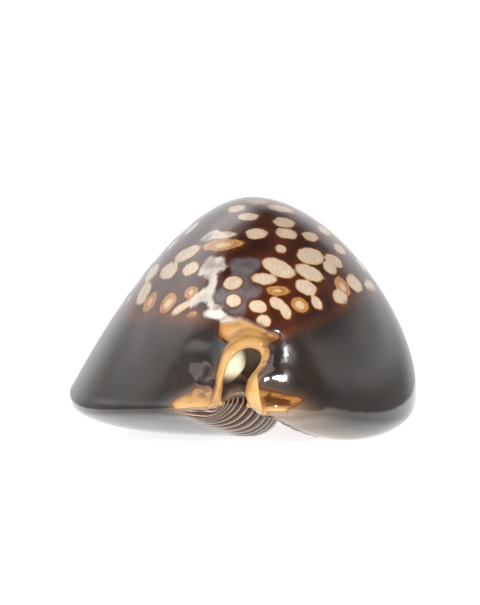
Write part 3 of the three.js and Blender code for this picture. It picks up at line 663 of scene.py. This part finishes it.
# Golden rims, feet and shelf, with a brown glow round them.
gold_edge = wander(read("gold"), 420, 0.5)
golden = blend(ramp(cloud, 0.3, 0.7), (0.35, 0.185, 0.058), (0.48, 0.29, 0.1))
brown = blend(ramp(mottle(450, 3, (1, 1, 2.6)), 0.38, 0.62), (0.07, 0.024, 0.007), (0.3, 0.14, 0.045))
golden = blend(wander(read("tone"), 300, 0.5), golden, brown)
golden = blend(ramp(gold_edge, 0.6, 0.05, 0, 0.75), golden, (0.2, 0.065, 0.014))
colour = blend(ramp(gold_edge, -0.9, -0.05, 0, 0.85), colour, (0.045, 0.012, 0.004))
colour = blend(ramp(gold_edge, -0.12, 0.2), colour, golden)

# The base: fawn by the lips, with brown teeth and paler grooves.
lip = read("to_lip")
near_lip = ramp(lip, 13, 2)
tooth = read("tooth")
base = blend(ramp(cloud, 0.3, 0.7), (0.16, 0.1, 0.065), (0.27, 0.18, 0.12))
colour = blend(sum_of("MULTIPLY", near_lip, ramp(gold_edge, 0.1, -0.3)), colour, base)
height = read("tooth_rise")
on_teeth = ramp(height, 0.03, 0.2)
teeth = blend(ramp(tooth, 0.35, 0.75), (0.5, 0.37, 0.25), (0.05, 0.018, 0.012))
colour = blend(on_teeth, colour, teeth)

# Inside it is cream, buff on the right, with painted shade: tan near the floor, dark just inside the lips.
spread = tree.nodes.new("ShaderNodeSeparateXYZ")
tree.links.new(place, spread.inputs[0])
lining = blend(ramp(cloud, 0.35, 0.7), (0.86, 0.74, 0.52), (0.95, 0.86, 0.64))
# Painted shade: the inside turns tan towards the floor, where its lower side lies in shade.
lining = blend(ramp(spread.outputs["Z"], 0.0125, 0.0085), lining, (0.42, 0.25, 0.12))
lining = blend(ramp(spread.outputs["X"], 0.002, 0.0035), lining, (0.72, 0.55, 0.4))
is_lining = ramp(read("inner"), 0.55, 0.95)
# Painted shade: dark grey-brown in the recess just inside the lips, low in the wall, where shade falls.
recess_shade = sum_of("MULTIPLY", ramp(lip, -5.5, -3.2), ramp(spread.outputs["Z"], 0.0115, 0.0095))
lining = blend(recess_shade, lining, (0.045, 0.036, 0.034))
lining = blend(ramp(read("gold"), -1.6, 0.3), lining, golden)
colour = blend(is_lining, colour, lining)

# Old damage: torn pale bands with a paler flake, and a dark chip by the left foot.
torn = wander(read("scar"), 650, 1.3, 5.0)
worn = blend(ramp(mottle(330, 4), 0.4, 0.62), (0.24, 0.2, 0.165), (0.46, 0.41, 0.355))
worn = blend(ramp(wander(read("flake"), 900, 0.9, 4.0), -0.1, 0.3), worn, (0.55, 0.5, 0.44))
colour = blend(ramp(torn, -0.2, 0.35, 0, 0.85), colour, worn)
chipped = wander(read("chip"), 1100, 0.9, 4.0)
colour = blend(ramp(chipped, -0.5, 0.2), colour, (0.045, 0.018, 0.016))
colour = blend(ramp(chipped, 0.1, 0.4), colour, (0.006, 0.004, 0.004))
tree.links.new(colour, gloss.inputs["Base Color"])
rough = sum_of("ADD", ramp(grain, 0.3, 0.7, 0.05, 0.1), ramp(torn, 0, 0.3, 0, 0.22))
rough = sum_of("ADD", rough, ramp(chipped, 0.1, 0.4, 0, 0.4))
tree.links.new(rough, gloss.inputs["Roughness"])
tree.links.new(ramp(height, 0.02, 0.2, 0.5, 0.15), gloss.inputs["Specular IOR Level"])
bump = tree.nodes.new("ShaderNodeBump")
bump.inputs["Strength"].default_value, bump.inputs["Distance"].default_value = 0.25, 0.00008
relief = sum_of("ADD", mottle(420, 3), sum_of("MULTIPLY", mottle(2600, 3), ramp(torn, 0, 0.3, 0.05, 0.8)))
tree.links.new(relief, bump.inputs["Height"])
tree.links.new(bump.outputs[0], gloss.inputs["Normal"])

# The teeth are raised along the lips by a rule: a round ridge for each whole count.
rule = bpy.data.node_groups.new("toothed_lips", "GeometryNodeTree")
face_of = rule.interface
face_of.new_socket("Geometry", in_out="INPUT", socket_type="NodeSocketGeometry")
height_input = face_of.new_socket("Tooth height", in_out="INPUT", socket_type="NodeSocketFloat")
round_input = face_of.new_socket("Tooth squareness", in_out="INPUT", socket_type="NodeSocketFloat")
face_of.new_socket("Geometry", in_out="OUTPUT", socket_type="NodeSocketGeometry")
begin, end = rule.nodes.new("NodeGroupInput"), rule.nodes.new("NodeGroupOutput")


def step_of(kind, operation=None, **given):
    node = rule.nodes.new(kind)
    if operation:
        node.operation = operation
    for name, value in given.items():
        socket = node.inputs[int(name[1:])]
        if isinstance(value, bpy.types.NodeSocket):
            rule.links.new(value, socket)
        else:
            socket.default_value = value
    return node


def stored(name):
    node = rule.nodes.new("GeometryNodeInputNamedAttribute")
    node.data_type = "FLOAT"
    node.inputs["Name"].default_value = name
    return node.outputs["Attribute"]


turn = step_of("ShaderNodeMath", "FRACT", _0=stored("tooth_count")).outputs[0]
turn = step_of("ShaderNodeMath", "MULTIPLY_ADD", _0=turn, _1=2.0, _2=-1.0).outputs[0]
turn = step_of("ShaderNodeMath", "ABSOLUTE", _0=turn).outputs[0]
turn = step_of("ShaderNodeMath", "POWER", _0=turn, _1=begin.outputs["Tooth squareness"]).outputs[0]
ridge = step_of("ShaderNodeMath", "SUBTRACT", _0=1.0, _1=turn).outputs[0]
lift = step_of("ShaderNodeMath", "MULTIPLY", _0=ridge, _1=stored("tooth_rise")).outputs[0]
lift = step_of("ShaderNodeMath", "MULTIPLY", _0=lift, _1=begin.outputs["Tooth height"]).outputs[0]
offset = rule.nodes.new("ShaderNodeVectorMath")
offset.operation = "SCALE"
rule.links.new(rule.nodes.new("GeometryNodeInputNormal").outputs[0], offset.inputs[0])
rule.links.new(lift, offset.inputs["Scale"])
move = rule.nodes.new("GeometryNodeSetPosition")
rule.links.new(begin.outputs["Geometry"], move.inputs["Geometry"])
rule.links.new(offset.outputs[0], move.inputs["Offset"])
keep = rule.nodes.new("GeometryNodeStoreNamedAttribute")
keep.data_type, keep.domain = "FLOAT", "POINT"
keep.inputs["Name"].default_value = "tooth"
rule.links.new(move.outputs[0], keep.inputs["Geometry"])
rule.links.new(ridge, keep.inputs["Value"])
whole = rule.nodes.new("GeometryNodeRealizeInstances")
rule.links.new(keep.outputs[0], whole.inputs["Geometry"])
glaze = rule.nodes.new("GeometryNodeSetMaterial")
glaze.inputs["Material"].default_value = enamel
rule.links.new(whole.outputs[0], glaze.inputs["Geometry"])
rule.links.new(glaze.outputs[0], end.inputs["Geometry"])
teeth_step = bare.modifiers.new("teeth", "NODES")
teeth_step.node_group = rule
TOOTH_HEIGHT = MM
TOOTH_SQUARENESS = 4.0
teeth_step[height_input.identifier] = TOOTH_HEIGHT
teeth_step[round_input.identifier] = TOOTH_SQUARENESS
bpy.context.view_layer.update()
graph = bpy.context.evaluated_depsgraph_get()
wall_mesh = bpy.data.meshes.new_from_object(
    bare.evaluated_get(graph), preserve_all_data_layers=True, depsgraph=graph)
bare.modifiers.clear()
bpy.data.objects.remove(bare)
wall_mesh.name = "cowrie_wall"
shell = bpy.data.objects.new("cowrie_wall", wall_mesh)
bpy.context.collection.objects.link(shell)
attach(shell, "root")
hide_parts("shell")

# Floor, light and camera
# A plain pale floor that glows a little, soft panels of light round the shell, and the camera behind
# the rear notch, level with it.
FLOOR_REACH = 3
floor_mesh = bpy.data.meshes.new("floor")
corners = [(-FLOOR_REACH, -FLOOR_REACH, 0), (FLOOR_REACH, -FLOOR_REACH, 0),
           (FLOOR_REACH, FLOOR_REACH, 0), (-FLOOR_REACH, FLOOR_REACH, 0)]
floor_mesh.from_pydata(corners, [], [(0, 1, 2, 3)])
floor = bpy.data.objects.new("floor", floor_mesh)
bpy.context.collection.objects.link(floor)
paper = bpy.data.materials.new("paper")
paper.use_nodes = True
sheen = paper.node_tree.nodes["Principled BSDF"].inputs
sheen["Base Color"].default_value = (0.9, 0.9, 0.9, 1)
sheen["Roughness"].default_value = 0.9
sheen["Emission Color"].default_value = (1, 1, 1, 1)
sheen["Emission Strength"].default_value = 0.8
floor_mesh.materials.append(paper)

# Three soft lamps fill the shell without showing in its gloss; a small one glints by the notch.
# Each has a place, a width, a height and a power, and either shows in the gloss or doesn't.
lamps = {"fill_left": ((-0.75, -0.1, 0.75), 0.9, 1.3, 5, False),
         "fill_right": ((0.75, -0.1, 0.75), 0.9, 1.3, 5, False),
         "fill_behind": ((0.03, -0.9, 0.045), 0.2, 0.12, 10, False),
         "glint": ((0.25, -0.53, 0.135), 0.018, 0.026, 0.7, True)}
LIT_POINT = Vector((0, 0, 0.02))
for name, (at, wide, high, watts, mirrored) in lamps.items():
    lamp = bpy.data.lights.new(name, "AREA")
    lamp.shape, lamp.size, lamp.size_y, lamp.energy = "RECTANGLE", wide, high, watts
    stand = bpy.data.objects.new(name, lamp)
    stand.location = at
    stand.rotation_euler = (LIT_POINT - stand.location).to_track_quat("-Z", "Y").to_euler()
    stand.visible_glossy = mirrored
    bpy.context.collection.objects.link(stand)

# The studio has a soft panel on the left, on the right and at the front end, and is dim behind the
# notch. The camera sees a plain backdrop in their place.
scene = bpy.context.scene
sky = bpy.data.worlds.new("studio")
sky.use_nodes = True
scene.world = sky
nodes, links = sky.node_tree.nodes, sky.node_tree.links
back_drop = nodes["Background"]
back_drop.inputs["Color"].default_value = (1, 1, 1, 1)
where = nodes.new("ShaderNodeTexCoord")
split = nodes.new("ShaderNodeSeparateXYZ")
links.new(where.outputs["Generated"], split.inputs[0])


def fade_of(value, low, high, to_low=0.0, to_high=1.0):
    fade = nodes.new("ShaderNodeMapRange")
    fade.interpolation_type = "SMOOTHSTEP"
    for socket, number in (("From Min", low), ("From Max", high), ("To Min", to_low), ("To Max", to_high)):
        fade.inputs[socket].default_value = number
    links.new(value, fade.inputs["Value"])
    return fade.outputs["Result"]


BRIGHTEST = 2.0


def panel(stops):
    """A soft panel of light: its strength at each height, from 0 at the horizon to 1 overhead."""
    ladder = nodes.new("ShaderNodeValToRGB")
    ladder.color_ramp.interpolation = "EASE"
    while len(ladder.color_ramp.elements) < len(stops):
        ladder.color_ramp.elements.new(1)
    for stop, (height, strength) in zip(ladder.color_ramp.elements, stops):
        share = strength / BRIGHTEST
        stop.position, stop.color = height, (share, share, share, 1)
    links.new(split.outputs["Z"], ladder.inputs["Fac"])
    return ladder.outputs["Color"]


def mixed(share, under, over):
    node = nodes.new("ShaderNodeMix")
    node.data_type = "FLOAT"
    for socket, value in zip(("Factor", "A", "B"), (share, under, over)):
        links.new(value, node.inputs[socket])
    return node.outputs["Result"]


left_panel = panel([
    (0, 0.45), (0.27, 0.5), (0.42, 1.15), (0.6, 1.9), (0.72, 1.8), (0.82, 0.7), (0.91, 0.07)])
right_panel = panel([(0, 0.36), (0.1, 0.38), (0.26, 0.95), (0.36, 0.8), (0.52, 0.25), (0.66, 0.07)])
back_panel = panel([(0, 0.9), (0.3, 1.0), (0.5, 1.0), (0.68, 0.5), (0.8, 0.07)])
round_it = mixed(fade_of(split.outputs["X"], -0.15, 0.15), left_panel, right_panel)
round_it = mixed(fade_of(split.outputs["Y"], 0.7, 0.98), round_it, back_panel)
studio = nodes.new("ShaderNodeMath")
studio.operation = "MULTIPLY"
links.new(round_it, studio.inputs[0])
ahead_of_notch = nodes.new("ShaderNodeVectorMath")
ahead_of_notch.operation = "DOT_PRODUCT"
links.new(where.outputs["Generated"], ahead_of_notch.inputs[0])
DIM_SIDE, DIM_SHARE = (0.34, -0.94, 0), 0.12
ahead_of_notch.inputs[1].default_value = DIM_SIDE
dimming = fade_of(ahead_of_notch.outputs["Value"], 0.95, 0.5, DIM_SHARE * BRIGHTEST, BRIGHTEST)
links.new(dimming, studio.inputs[1])
sight = nodes.new("ShaderNodeLightPath")
seen = nodes.new("ShaderNodeMix")
seen.data_type = "FLOAT"
links.new(sight.outputs["Is Camera Ray"], seen.inputs["Factor"])
links.new(studio.outputs[0], seen.inputs["A"])
BACKDROP_STRENGTH = 1.2
seen.inputs["B"].default_value = BACKDROP_STRENGTH
links.new(seen.outputs["Result"], back_drop.inputs["Strength"])
scene.view_settings.view_transform = "Standard"

lens = bpy.data.cameras.new("camera")
camera = bpy.data.objects.new("camera", lens)
DISTANCE, VIEW_WIDTH, SENSOR = 0.4, 0.080448, 36
lens.sensor_fit = "HORIZONTAL"
lens.sensor_width = SENSOR
lens.lens = SENSOR * DISTANCE / VIEW_WIDTH
aim = Vector((-0.00059, 0, 0.0217))
lean = math.radians(0.5)
camera.location = aim + Vector((0, -math.cos(lean), math.sin(lean))) * DISTANCE
camera.rotation_euler = (aim - camera.location).to_track_quat("-Z", "Y").to_euler()
bpy.context.collection.objects.link(camera)
scene.camera = camera
